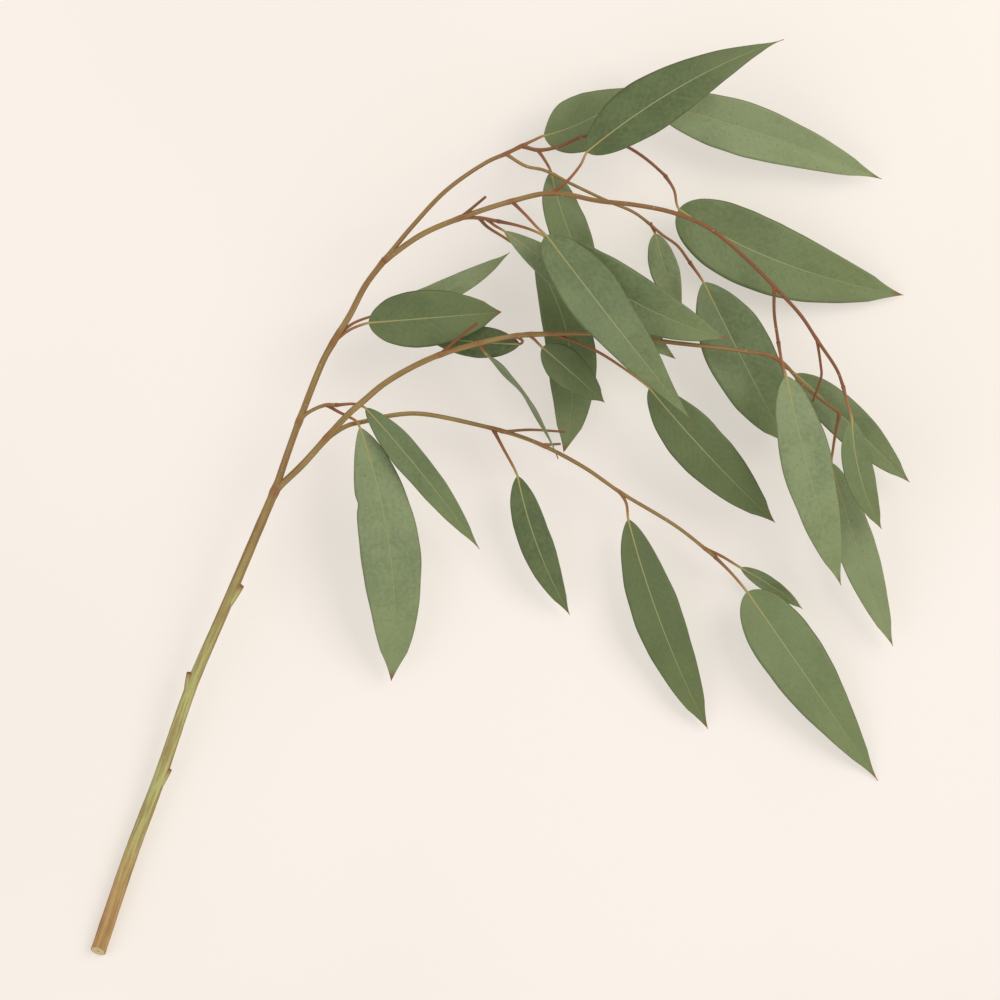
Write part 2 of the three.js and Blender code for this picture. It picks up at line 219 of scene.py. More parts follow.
def finished_piece(bm: bmesh.types.BMesh, name: str, node: str,
                   materials: list[bpy.types.Material]) -> bpy.types.Object:
    """Make a mesh an object that stands for a node of the frame.

    Args:
        bm: the mesh, in metres in the shared frame; it is freed.
        name: the piece's name.
        node: the node that it stands for.
        materials: its materials, in the order of its material numbers.

    Returns:
        The object, at the origin.
    """
    mesh = bpy.data.meshes.new(name)
    bm.to_mesh(mesh)
    bm.free()
    piece = bpy.data.objects.new(name, mesh)
    bpy.context.scene.collection.objects.link(piece)
    for material in materials:
        mesh.materials.append(material)
    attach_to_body(piece, BODY)
    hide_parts(node)
    LOG.info("%s: %d faces", name, len(mesh.polygons))
    return piece


class Graph:
    """A shader node tree, with short calls for the nodes that the finishes use."""

    def __init__(self, tree: bpy.types.NodeTree) -> None:
        """Take hold of a tree."""
        self.tree = tree

    def node(self, kind: str, **settings: object) -> bpy.types.Node:
        """Add a node.

        Args:
            kind: its kind.
            settings: its settings, by name.

        Returns:
            The node.
        """
        made = self.tree.nodes.new(kind)
        for key, setting in settings.items():
            setattr(made, key, setting)
        return made

    def feed(self, target: Socket, value: Value) -> None:
        """Link a socket to another one, or set it to a plain value.

        Args:
            target: the socket that takes the value.
            value: the other socket or the plain value.
        """
        if isinstance(value, bpy.types.NodeSocket):
            self.tree.links.new(value, target)
        else:
            target.default_value = value

    def math(self, operation: str, first: Value, second: Value = 0.0) -> Socket:
        """Work out one operation.

        Args:
            operation: its name.
            first: the first value.
            second: the second value, where it takes one.

        Returns:
            The result.
        """
        made = self.node("ShaderNodeMath", operation=operation)
        self.feed(made.inputs[0], first)
        self.feed(made.inputs[1], second)
        return made.outputs[0]

    def times(self, first: Value, second: Value) -> Socket:
        """Multiply two values."""
        return self.math("MULTIPLY", first, second)

    def span(self, value: Value, low: float, high: float, to_low: float = 0.0,
             to_high: float = 1.0) -> Socket:
        """Ease a value from one range into another one, held at its ends.

        Args:
            value: the value.
            low: where the first range starts.
            high: where it ends.
            to_low: the result at its start.
            to_high: the result at its end.

        Returns:
            The result.
        """
        made = self.node("ShaderNodeMapRange", interpolation_type="SMOOTHSTEP")
        self.feed(made.inputs["Value"], value)
        for key, number in zip(("From Min", "From Max", "To Min", "To Max"), (low, high, to_low, to_high)):
            made.inputs[key].default_value = number
        return made.outputs["Result"]

    def blend(self, share: Value, first: Value, second: Value) -> Socket:
        """Mix two colours.

        Args:
            share: the share of the second one.
            first: the first colour.
            second: the second colour.

        Returns:
            The mixed colour.
        """
        made = self.node("ShaderNodeMix", data_type="RGBA")
        self.feed(made.inputs["Factor"], share)
        self.feed(made.inputs[6], first)
        self.feed(made.inputs[7], second)
        return made.outputs[2]

    def noise(self, vector: Socket, scale: float, detail: float = 2.0) -> Socket:
        """Add a noise.

        Args:
            vector: where it is read.
            scale: how many of its waves go into a unit.
            detail: how many finer noises it holds.

        Returns:
            Its value, from 0 to 1.
        """
        made = self.node("ShaderNodeTexNoise")
        self.feed(made.inputs["Vector"], vector)
        made.inputs["Scale"].default_value = scale
        made.inputs["Detail"].default_value = detail
        return made.outputs["Fac"]

    def cells(self, vector: Socket, scale: float, feature: str) -> bpy.types.Node:
        """Add a cell pattern.

        Args:
            vector: where it is read.
            scale: how many of its cells go into a unit.
            feature: what is read of a cell.

        Returns:
            Its node.
        """
        made = self.node("ShaderNodeTexVoronoi", feature=feature)
        self.feed(made.inputs["Vector"], vector)
        made.inputs["Scale"].default_value = scale
        return made

    def dots(self, vector: Socket, scale: float, size: tuple[float, float], bare: float) -> Socket:
        """Strew soft dots, one in some of the cells of a pattern.

        Args:
            vector: where they are read.
            scale: how many cells go into a unit.
            size: where a dot starts to fade and where it has faded, as shares of a cell.
            bare: the share of the cells that hold no dot.

        Returns:
            1 in a dot and 0 off it.
        """
        cells = self.cells(vector, scale, "F1")
        dot = self.span(cells.outputs["Distance"], *size, 1.0, 0.0)
        return self.times(dot, self.math("GREATER_THAN", self.parts(cells.outputs["Color"])[0], bare))

    def parts(self, vector: Socket) -> list[Socket]:
        """Split a vector.

        Args:
            vector: the vector.

        Returns:
            Its three numbers.
        """
        made = self.node("ShaderNodeSeparateXYZ")
        self.feed(made.inputs[0], vector)
        return list(made.outputs)

    def attribute(self, name: str) -> Socket:
        """Read a vector that the mesh carries under a name."""
        return self.node("ShaderNodeAttribute", attribute_name=name).outputs["Vector"]


def new_group(name: str, inputs: dict[str, str], outputs: dict[str, str]) -> tuple[Graph, dict, dict]:
    """Start a shader node group.

    Args:
        name: the group's name.
        inputs: the kind of each input socket, by its name.
        outputs: the kind of each output socket, by its name.

    Returns:
        The group's graph, its inputs' sockets and its outputs' sockets, by name.
    """
    tree = bpy.data.node_groups.new(name, "ShaderNodeTree")
    for key, kind in inputs.items():
        tree.interface.new_socket(key, in_out="INPUT", socket_type=kind)
    for key, kind in outputs.items():
        tree.interface.new_socket(key, in_out="OUTPUT", socket_type=kind)
    graph = Graph(tree)
    source = graph.node("NodeGroupInput")
    goal = graph.node("NodeGroupOutput")
    return graph, {key: source.outputs[key] for key in inputs}, {key: goal.inputs[key] for key in outputs}


@dataclass(frozen=True)
class LeafMarks:
    """The marks of a leaf: its veins, edge, tip, mottling and specks.

    Scales and counts are by the metre, and places and widths are shares of a leaf's half width or length.
    """

    side_veins: float = 230.0
    vein_slant: float = 1.15
    vein_wander: float = 1.1
    wander_scale: float = 260.0
    vein_width: float = 0.13
    vein_fade: tuple[float, float] = (0.55, 0.92)
    vein_faded: float = 0.25
    border_place: float = 0.9
    border_width: float = 0.03
    border_share: float = 0.5
    net_scale: float = 620.0
    net_width: float = 0.12
    net_share: float = 0.35
    edge: tuple[float, float] = (0.955, 0.995)
    edge_wander: float = 0.03
    tip: tuple[float, float] = (0.945, 0.99)
    warmth: tuple[float, float] = (0.45, 1.0)
    broad_scale: float = 55.0
    fine_scale: float = 420.0
    fine_share: float = 0.45
    mottle: tuple[float, float] = (0.36, 0.62)
    speck_scale: float = 480.0
    speck_size: tuple[float, float] = (0.1, 0.24)
    speck_bare: float = 0.6
    vein_height: float = 0.6
    grain_height: float = 0.5

    def veins(self, graph: Graph, metric: Socket, away: Socket, wander: Socket) -> Socket:
        """Draw the side veins, the border vein and the fine net between them.

        Args:
            graph: the group's graph.
            metric: the place along and across the blade, in metres.
            away: the distance from the midrib, as a share of the half width.
            wander: a noise that bends the side veins.

        Returns:
            How strongly a vein shows.
        """
        run, off, _ = graph.parts(metric)
        slant = graph.times(graph.math("ABSOLUTE", off), self.vein_slant)
        phase = graph.times(graph.math("SUBTRACT", run, slant), self.side_veins)
        phase = graph.math("ADD", phase, graph.times(wander, self.vein_wander))
        side = graph.span(graph.math("PINGPONG", phase, 0.5), 0.0, self.vein_width, 1.0, 0.0)
        side = graph.times(side, graph.span(away, *self.vein_fade, 1.0, self.vein_faded))
        border = graph.math("ABSOLUTE", graph.math("SUBTRACT", away, self.border_place))
        border = graph.times(graph.span(border, 0.0, self.border_width, 1.0, 0.0), self.border_share)
        net = graph.cells(metric, self.net_scale, "DISTANCE_TO_EDGE").outputs["Distance"]
        net = graph.times(graph.span(net, 0.0, self.net_width, 1.0, 0.0), self.net_share)
        return graph.math("MAXIMUM", graph.math("MAXIMUM", side, border), net)

    def group(self) -> bpy.types.NodeTree:
        """Build the group with the marks.

        Returns:
            The group. Its Place input is the share along and across the blade, and its Metric input the
            same in metres, with the leaf's freshness as third number.
        """
        masks = ("Veins", "Edge", "Tip", "Warmth", "Mottle", "Specks", "Fresh", "Height")
        graph, inputs, outputs = new_group(
            "leaf_marks", {"Place": "NodeSocketVector", "Metric": "NodeSocketVector"},
            {key: "NodeSocketFloat" for key in masks})
        metric = inputs["Metric"]
        along, across, _ = graph.parts(inputs["Place"])
        away = graph.math("ABSOLUTE", across)
        wander = graph.noise(metric, self.wander_scale, 1.0)
        veins = self.veins(graph, metric, away, wander)
        graph.feed(outputs["Veins"], veins)
        ragged = graph.times(graph.math("SUBTRACT", wander, 0.5), self.edge_wander)
        graph.feed(outputs["Edge"], graph.span(graph.math("ADD", away, ragged), *self.edge))
        graph.feed(outputs["Tip"], graph.span(along, *self.tip))
        graph.feed(outputs["Warmth"], graph.span(along, *self.warmth))
        broad = graph.times(graph.noise(metric, self.broad_scale, 3.0), 1 - self.fine_share)
        fine = graph.noise(metric, self.fine_scale, 3.0)
        mottle = graph.math("ADD", broad, graph.times(fine, self.fine_share))
        graph.feed(outputs["Mottle"], graph.span(mottle, *self.mottle))
        specks = graph.dots(metric, self.speck_scale, self.speck_size, self.speck_bare)
        graph.feed(outputs["Specks"], specks)
        graph.feed(outputs["Fresh"], graph.parts(metric)[2])
        relief = graph.math("ADD", graph.times(veins, self.vein_height), graph.times(fine, self.grain_height))
        graph.feed(outputs["Height"], relief)
        return graph.tree


@dataclass(frozen=True)
class BarkMarks:
    """The marks of bark: lengthwise streaks, painted shade that darkens and reddens the flanks, pores and
    mottling, with scales by the metre.
    """

    streak_length: float = 18.0
    streak_scale: float = 2.2
    streak: tuple[float, float] = (0.42, 0.62)
    flank_shade: tuple[float, float] = (0.3, 0.85)
    mottle_scale: float = 130.0
    mottle: tuple[float, float] = (0.36, 0.64)
    pore_scale: float = 420.0
    pore_size: tuple[float, float] = (0.12, 0.3)
    pore_bare: float = 0.62
    streak_height: float = 0.6
    pore_height: float = 0.8

    def group(self) -> bpy.types.NodeTree:
        """Build the group with the marks.

        Returns:
            The group. Its Point input is a point of the piece and its Run input the way along its twig,
            both in metres, and its Side input the direction out of its twig's middle line.
        """
        masks = ("Streaks", "PaintedFlankShade", "Pores", "Mottle", "Height")
        graph, inputs, outputs = new_group(
            "bark_marks", {"Point": "NodeSocketVector", "Side": "NodeSocketVector", "Run": "NodeSocketFloat"},
            {key: "NodeSocketFloat" for key in masks})
        grain = graph.node("ShaderNodeTexNoise", noise_dimensions="4D")
        graph.feed(grain.inputs["Vector"], inputs["Side"])
        graph.feed(grain.inputs["W"], graph.times(inputs["Run"], self.streak_length))
        grain.inputs["Scale"].default_value = self.streak_scale
        grain.inputs["Detail"].default_value = 4.0
        streaks = graph.span(grain.outputs["Fac"], *self.streak)
        graph.feed(outputs["Streaks"], streaks)
        # The flank mask is painted shade: it is 1 where the bark faces sideways, so a twig's edges darken as
        # if lit from above.
        steep = graph.math("ABSOLUTE", graph.parts(inputs["Side"])[2])
        graph.feed(outputs["PaintedFlankShade"], graph.span(steep, *self.flank_shade, 1.0, 0.0))
        mottle = graph.noise(inputs["Point"], self.mottle_scale, 4.0)
        graph.feed(outputs["Mottle"], graph.span(mottle, *self.mottle))
        pores = graph.dots(inputs["Point"], self.pore_scale, self.pore_size, self.pore_bare)
        graph.feed(outputs["Pores"], pores)
        relief = graph.math(
            "ADD", graph.times(streaks, self.streak_height), graph.times(pores, self.pore_height))
        graph.feed(outputs["Height"], relief)
        return graph.tree


def new_material(name: str) -> tuple[bpy.types.Material, Graph, bpy.types.Node]:
    """Start a material.

    Args:
        name: its name.

    Returns:
        The material, its graph and its Principled shader.
    """
    material = bpy.data.materials.new(name)
    material.use_nodes = True
    shader = material.node_tree.nodes["Principled BSDF"]
    return material, Graph(material.node_tree), shader


def add_relief(graph: Graph, shader: bpy.types.Node, height: Socket, depth: float, strength: float) -> None:
    """Raise a shader's surface by a height.

    Args:
        graph: the material's graph.
        shader: its shader.
        height: the height, from 0 to about 1.
        depth: how high 1 is, in metres.
        strength: how strongly it shows.
    """
    bump = graph.node("ShaderNodeBump")
    bump.inputs["Strength"].default_value = strength
    bump.inputs["Distance"].default_value = depth
    graph.feed(bump.inputs["Height"], height)
    graph.feed(shader.inputs["Normal"], bump.outputs["Normal"])


@dataclass(frozen=True)
class LeafFinish:
    """The waxy finish of one face of a leaf, with its colours as on a screen."""

    name: str
    green: str
    deep: str
    fresh: str
    warm: str
    vein: str
    edge: str
    tip: str = "8a5a3a"
    speck: str = "6d6238"
    roughness: float = 0.5
    vein_share: float = 0.16

    def material(self, marks: bpy.types.NodeTree) -> bpy.types.Material:
        """Build the material.

        Args:
            marks: the group with the marks of a leaf.

        Returns:
            The material.
        """
        material, graph, shader = new_material(self.name)
        group = graph.node("ShaderNodeGroup", node_tree=marks)
        graph.feed(group.inputs["Place"], graph.attribute("leaf_place"))
        graph.feed(group.inputs["Metric"], graph.attribute("leaf_metric"))
        out = group.outputs
        colour = graph.blend(out["Mottle"], linear(self.deep), linear(self.green))
        colour = graph.blend(graph.times(out["Fresh"], 0.55), colour, linear(self.fresh))
        colour = graph.blend(graph.times(out["Warmth"], 0.45), colour, linear(self.warm))
        colour = graph.blend(graph.times(out["Veins"], self.vein_share), colour, linear(self.vein))
        colour = graph.blend(graph.times(out["Specks"], 0.6), colour, linear(self.speck))
        colour = graph.blend(graph.times(out["Edge"], 0.6), colour, linear(self.edge))
        colour = graph.blend(graph.times(out["Tip"], 0.85), colour, linear(self.tip))
        graph.feed(shader.inputs["Base Color"], colour)
        low, high = self.roughness - 0.06, self.roughness + 0.1
        graph.feed(shader.inputs["Roughness"], graph.span(out["Mottle"], 0.0, 1.0, low, high))
        shader.inputs["Specular IOR Level"].default_value = 0.35
        add_relief(graph, shader, out["Height"], 0.0003, 0.35)
        return material


@dataclass(frozen=True)
class RibFinish:
    """The finish of a petiole and the midrib that it runs on into."""

    name: str = "petiole_and_midrib"
    root: str = "7d4a30"
    stalk: str = "9a6239"
    neck: str = "b0a061"
    rib: str = "9aa170"
    end: str = "8c9569"
    roughness: float = 0.48

    def material(self) -> bpy.types.Material:
        """Build the material, which changes from the twig to the tip.

        Returns:
            The material.
        """
        material, graph, shader = new_material(self.name)
        along, _, _ = graph.parts(graph.attribute("leaf_place"))
        _, _, fresh = graph.parts(graph.attribute("leaf_metric"))
        colour = graph.blend(graph.span(along, -1.0, -0.45), linear(self.root), linear(self.stalk))
        colour = graph.blend(graph.span(along, -0.4, 0.02), colour, linear(self.neck))
        colour = graph.blend(graph.span(along, 0.02, 0.22), colour, linear(self.rib))
        colour = graph.blend(graph.span(along, 0.45, 0.95), colour, linear(self.end))
        colour = graph.blend(graph.times(fresh, 0.15), colour, linear(self.neck))
        graph.feed(shader.inputs["Base Color"], colour)
        patches = graph.noise(graph.attribute("leaf_metric"), 600.0, 2.0)
        low, high = self.roughness, self.roughness + 0.15
        graph.feed(shader.inputs["Roughness"], graph.span(patches, 0.3, 0.7, low, high))
        add_relief(graph, shader, patches, 0.0002, 0.3)
        return material


@dataclass(frozen=True)
class BarkFinish:
    """The finish of the bark, from the old wood at the cut to the young twigs."""

    name: str = "bark"
    old: str = "cdaa6d"
    green: str = "c0c17c"
    ripe: str = "a48c56"
    young: str = "8a573a"
    shade: str = "7a6440"
    # The streak colour is also used for the painted shade on the flanks.
    streak: str = "7f4c2c"
    pore: str = "d6bf90"
    scar: str = "94593a"
    roughness: float = 0.55

    def material(self, marks: bpy.types.NodeTree) -> bpy.types.Material:
        """Build the material.

        Args:
            marks: the group with the marks of bark.

        Returns:
            The material.
        """
        material, graph, shader = new_material(self.name)
        group = graph.node("ShaderNodeGroup", node_tree=marks)
        graph.feed(group.inputs["Point"], graph.node("ShaderNodeTexCoord").outputs["Object"])
        graph.feed(group.inputs["Side"], graph.attribute("wood_side"))
        youth, scar, run = graph.parts(graph.attribute("wood_place"))
        graph.feed(group.inputs["Run"], run)
        out = group.outputs
        colour = graph.blend(graph.span(youth, 0.05, 0.17), linear(self.old), linear(self.green))
        colour = graph.blend(graph.span(youth, 0.3, 0.52), colour, linear(self.ripe))
        colour = graph.blend(graph.span(youth, 0.62, 0.95), colour, linear(self.young))
        colour = graph.blend(graph.times(out["Mottle"], 0.18), colour, linear(self.shade))
        colour = graph.blend(graph.times(out["Streaks"], 0.45), colour, linear(self.streak))
        # Painted shade: the bark that faces sideways is darkened with the streak colour.
        colour = graph.blend(graph.times(out["PaintedFlankShade"], 0.45), colour, linear(self.streak))
        colour = graph.blend(graph.times(out["Pores"], 0.35), colour, linear(self.pore))
        colour = graph.blend(scar, colour, linear(self.scar))
        graph.feed(shader.inputs["Base Color"], colour)
        low, high = self.roughness, self.roughness + 0.18
        graph.feed(shader.inputs["Roughness"], graph.span(out["Streaks"], 0.0, 1.0, low, high))
        shader.inputs["Specular IOR Level"].default_value = 0.4
        add_relief(graph, shader, out["Height"], 0.0004, 0.5)
        return material


@dataclass(frozen=True)
class CutFinish:
    """The finish of the fresh cut: pale wood with faint rings round a darker pith."""

    name: str = "cut_wood"
    wood: str = "e3cf9f"
    ring: str = "cdb27c"
    pith: str = "a98552"
    roughness: float = 0.75

    def material(self, middle: Vector) -> bpy.types.Material:
        """Build the material.

        Args:
            middle: the middle of the cut, in metres.

        Returns:
            The material.
        """
        material, graph, shader = new_material(self.name)
        centred = graph.node("ShaderNodeMapping")
        graph.feed(centred.inputs["Vector"], graph.node("ShaderNodeTexCoord").outputs["Object"])
        centred.inputs["Location"].default_value = -middle
        length = graph.node("ShaderNodeVectorMath", operation="LENGTH")
        graph.feed(length.inputs[0], centred.outputs[0])
        away = length.outputs["Value"]
        grain = graph.noise(centred.outputs[0], 1800.0, 3.0)
        ripple = graph.math("ADD", graph.times(away, 1500.0), graph.times(grain, 0.7))
        rings = graph.span(graph.math("PINGPONG", ripple, 0.5), 0.0, 0.4)
        colour = graph.blend(graph.times(rings, 0.6), linear(self.wood), linear(self.ring))
        colour = graph.blend(graph.span(away, 0.0004, 0.0009, 1.0, 0.0), colour, linear(self.pith))
        graph.feed(shader.inputs["Base Color"], colour)
        low, high = self.roughness, self.roughness + 0.15
        graph.feed(shader.inputs["Roughness"], graph.span(grain, 0.3, 0.7, low, high))
        add_relief(graph, shader, grain, 0.0002, 0.4)
        return material


@dataclass(frozen=True)
class FloorFinish:
    """The finish of the plain pale floor, which glows a little, as over a light table."""

    name: str = "pale_floor"
    light: str = "c6c1bc"
    dim: str = "c2bdb7"
    glow: str = "f1ebe6"
    glow_strength: float = 0.5
    roughness: float = 0.9

    def material(self) -> bpy.types.Material:
        """Build the material, with a faint unevenness.

        Returns:
            The material.
        """
        material, graph, shader = new_material(self.name)
        point = graph.node("ShaderNodeTexCoord").outputs["Object"]
        cloud = graph.span(graph.noise(point, 3.0, 2.0), 0.35, 0.65)
        graph.feed(shader.inputs["Base Color"], graph.blend(cloud, linear(self.dim), linear(self.light)))
        shader.inputs["Roughness"].default_value = self.roughness
        shader.inputs["Specular IOR Level"].default_value = 0.1
        shader.inputs["Emission Color"].default_value = linear(self.glow)
        shader.inputs["Emission Strength"].default_value = self.glow_strength
        return material


@dataclass(frozen=True)
class BladeMake:
    """What all blades share: how thick and fine they are, and how they fold and wave."""

    thickness: float = 0.55
    edge_thickness: float = 0.22
    fold_degrees: float = 7.0
    tip_width: float = 0.35
    outline_power: float = 1.6
    steps_along: int = 84
    steps_across: int = 22
    crowding: float = 1.35
    phase_by_leaf: float = 1.7
    phase_across: float = 2.1
    dimple: float = 0.35
    ragged: float = 0.03
    nick_length: float = 0.022
    drip: float = 0.45
    drip_start: float = 0.88
    petiole_radius: float = 0.8
    neck_radius: float = 0.62
    rib_radius: float = 0.52
    rib_end_radius: float = 0.3
    rib_end: float = 0.95
    rib_step: float = 1.6
    rib_sides: int = 8


MAKE = BladeMake()


@dataclass
class Leaf:
    """One leaf: a blade from base to tip through the middle of its midrib, on a petiole from its twig.

    Lengths are in millimetres and angles in degrees. width is the flat blade's, broadest the share of
    its length where it is reached, roll and twist turn it about its midrib, and wave is the rise of its
    edges. A low power makes its ends full. A nick has a place along an edge and a share of the width as
    depth, below 0 on the edge that is to the right of the way to the tip.
    """

    tone: Tone
    width: float
    broadest: float
    roll: float
    twist: float
    wave: float
    waves: float
    attach: Point
    via: list[Point]
    base: Point
    middle: Point
    tip: Point
    power: float = MAKE.outline_power
    nicks: tuple[tuple[float, float], ...] = ()
    order: int = 0

    @property
    def node(self) -> str:
        """Name the node that the leaf stands for."""
        return f"leaf_{self.order + 1:02d}"

    @property
    def fresh(self) -> float:
        """Draw how fresh the leaf's green is, from 0 to 1."""
        return random.Random(100 + self.order).random()

    def midrib(self, along: float) -> Vector:
        """Find a point of the midrib, a parabola through base, middle and tip.

        Args:
            along: from 0 at the base to 1 at the tip.

        Returns:
            The point, in the drawing.
        """
        base, middle, tip = Vector(self.base), Vector(self.middle), Vector(self.tip)
        return (base * (1 - along) * (1 - 2 * along) + middle * 4 * along * (1 - along)
                + tip * along * (2 * along - 1))

    def forward(self, along: float) -> Vector:
        """Find the direction of the midrib.

        Args:
            along: from 0 at the base to 1 at the tip.

        Returns:
            The direction, of length 1.
        """
        base, middle, tip = Vector(self.base), Vector(self.middle), Vector(self.tip)
        return (base * (4 * along - 3) + middle * (4 - 8 * along) + tip * (4 * along - 1)).normalized()

    def outline(self, along: float) -> float:
        """Find the width of the smooth outline.

        Args:
            along: from 0 at the base to 1 at the tip.

        Returns:
            The width, as a share of the greatest width.
        """
        rise = self.power * self.broadest
        fall = self.power - rise
        greatest = self.broadest ** rise * (1 - self.broadest) ** fall
        return max(along, 0.0) ** rise * max(1 - along, 0.0) ** fall / greatest

    def half_width(self, along: float, across: float) -> float:
        """Find the half width at a place, with the slight raggedness of its edge.

        Args:
            along: from 0 at the base to 1 at the tip.
            across: from -1 to 1; its sign tells the edge.

        Returns:
            The half width.
        """
        side = 1.0 if across > 0 else -1.0
        wander = noise.noise(Vector((along * 9.0, side * 3.0, self.order * 5.3)))
        dips = [abs(depth) * math.exp(-((along - spot) / MAKE.nick_length) ** 2)
                for spot, depth in self.nicks if depth * side > 0]
        drawn = 1 - MAKE.drip * max(0.0, (along - MAKE.drip_start) / (1 - MAKE.drip_start))
        width = self.width * self.outline(along) * (1 + MAKE.ragged * wander - sum(dips)) * drawn
        return max(width, MAKE.tip_width) / 2

    def blade_point(self, along: float, across: float, lift: float) -> Vector:
        """Find a point of the blade.

        Args:
            along: from 0 at the base to 1 at the tip.
            across: from -1 to 1.
            lift: the distance off the blade's middle surface.

        Returns:
            The point, in the drawing.
        """
        forward = self.forward(along)
        flat_side = UP.cross(forward).normalized()
        flat_normal = forward.cross(flat_side)
        roll = math.radians(self.roll + self.twist * (along - 0.5))
        side = flat_side * math.cos(roll) + flat_normal * math.sin(roll)
        normal = forward.cross(side)
        half = self.half_width(along, across)
        fold = math.radians(MAKE.fold_degrees)
        phase = self.order * MAKE.phase_by_leaf + (0.0 if across > 0 else MAKE.phase_across)
        share = self.outline(along)
        wave = self.wave * share * across ** 2 * math.sin(2 * math.pi * self.waves * along + phase)
        dent = noise.noise(Vector((along * 5.0, across * 1.6, self.order * 7.1)))
        dent *= MAKE.dimple * share * min(1.0, abs(across) * 2.5)
        rise = abs(across) * half * math.sin(fold) + wave + dent + lift
        return self.midrib(along) + side * (across * half * math.cos(fold)) + normal * rise

    def sheet(self, bm: bmesh.types.BMesh, face: Face) -> list[bmesh.types.BMEdge]:
        """Add one face of the blade.

        Args:
            bm: the leaf's mesh.
            face: the upper or the under face.

        Returns:
            The edges of its border.
        """
        place_layer = bm.verts.layers.float_vector["leaf_place"]
        metric_layer = bm.verts.layers.float_vector["leaf_metric"]
        length = (Vector(self.tip) - Vector(self.base)).length
        grid = bmesh.ops.create_grid(
            bm, x_segments=MAKE.steps_along, y_segments=MAKE.steps_across, size=1.0)
        sign = 1.0 if face is Face.UPPER else -1.0
        for vert in grid["verts"]:
            along = 0.5 - 0.5 * math.cos(math.pi * (vert.co.x + 1) / 2)
            across = math.copysign(abs(vert.co.y) ** MAKE.crowding, vert.co.y)
            thickness = MAKE.thickness + (MAKE.edge_thickness - MAKE.thickness) * across ** 4
            off = across * self.half_width(along, across)
            vert[place_layer] = Vector((along, across, 0.0))
            vert[metric_layer] = Vector((along * length * MM, off * MM, self.fresh))
            vert.co = to_frame(self.blade_point(along, across, sign * thickness / 2))
        faces = list({f for vert in grid["verts"] for f in vert.link_faces})
        for made in faces:
            made.material_index = face.value
            made.smooth = True
        border = [edge for edge in {e for f in faces for e in f.edges} if edge.is_boundary]
        if face is Face.UNDER:
            bmesh.ops.reverse_faces(bm, faces=faces)
        return border

    def stalk(self) -> list[Vector]:
        """Walk the petiole from inside its twig to just before the blade.

        Returns:
            The points of its middle line, in the drawing.
        """
        inside = self.midrib(0.1)
        reach = (Vector(self.base) - inside).length
        points = [Vector(p) for p in (self.attach, *self.via, self.base, inside)]
        return [p for p in even_points(points, MAKE.rib_step) if (p - inside).length > reach]

    def rib_radius(self, along: float) -> float:
        """Find the radius of the petiole or of the midrib.

        Args:
            along: from -1 at the twig through 0 at the blade's base to 1 at its tip.

        Returns:
            The radius.
        """
        if along < 0:
            flare = 0.35 * math.exp(-(along + 1) * 9)
            return MAKE.petiole_radius + (MAKE.neck_radius - MAKE.petiole_radius) * (along + 1) + flare
        start = MAKE.neck_radius + (MAKE.rib_radius - MAKE.neck_radius) * min(1.0, along / 0.08)
        return start + (MAKE.rib_end_radius - start) * along / MAKE.rib_end

    def rib(self, bm: bmesh.types.BMesh) -> None:
        """Add the petiole and the midrib that it runs on into.

        Args:
            bm: the leaf's mesh.
        """
        stalk = self.stalk()
        count = max(8, round((Vector(self.tip) - Vector(self.base)).length / MAKE.rib_step))
        ribs = [i * MAKE.rib_end / count for i in range(count + 1)]
        walk = stalk + [self.midrib(along) for along in ribs]
        shares = [i / len(stalk) - 1 for i in range(len(stalk))] + ribs
        radii = [self.rib_radius(share) * MM for share in shares]
        rings = sweep(bm, [to_frame(p) for p in walk], radii, MAKE.rib_sides, Face.RIB.value)
        place_layer = bm.verts.layers.float_vector["leaf_place"]
        metric_layer = bm.verts.layers.float_vector["leaf_metric"]
        for ring, share, place in zip(rings, shares, walk):
            for vert in ring:
                vert[place_layer] = Vector((share, 0.0, 0.0))
                vert[metric_layer] = Vector((place.x * MM, place.y * MM, self.fresh))

    def build(self, finishes: dict[tuple[Tone, Face], bpy.types.Material]) -> bpy.types.Object:
        """Build the leaf and dress it.

        Args:
            finishes: the materials of each tone's faces.

        Returns:
            The leaf's object.
        """
        bm = bmesh.new()
        bm.verts.layers.float_vector.new("leaf_place")
        bm.verts.layers.float_vector.new("leaf_metric")
        borders = self.sheet(bm, Face.UPPER) + self.sheet(bm, Face.UNDER)
        rim = bmesh.ops.bridge_loops(bm, edges=borders)["faces"]
        for face in rim:
            face.material_index = Face.UPPER.value
        self.rib(bm)
        materials = [finishes[self.tone, face] for face in Face]
        return finished_piece(bm, f"fine_{self.node}", self.node, materials)


@dataclass(frozen=True)
class Twig:
    """One run of wood: its diameters and its age at both ends, and the points of its middle line."""

    diameters: tuple[float, float]
    youth: tuple[float, float]
    path: list[Point]
    sides: int = 12


@dataclass(frozen=True)
class Scar:
    """One old leaf base, which runs up from its heel in the stem to its broken end."""

    heel: Point
    end: Point


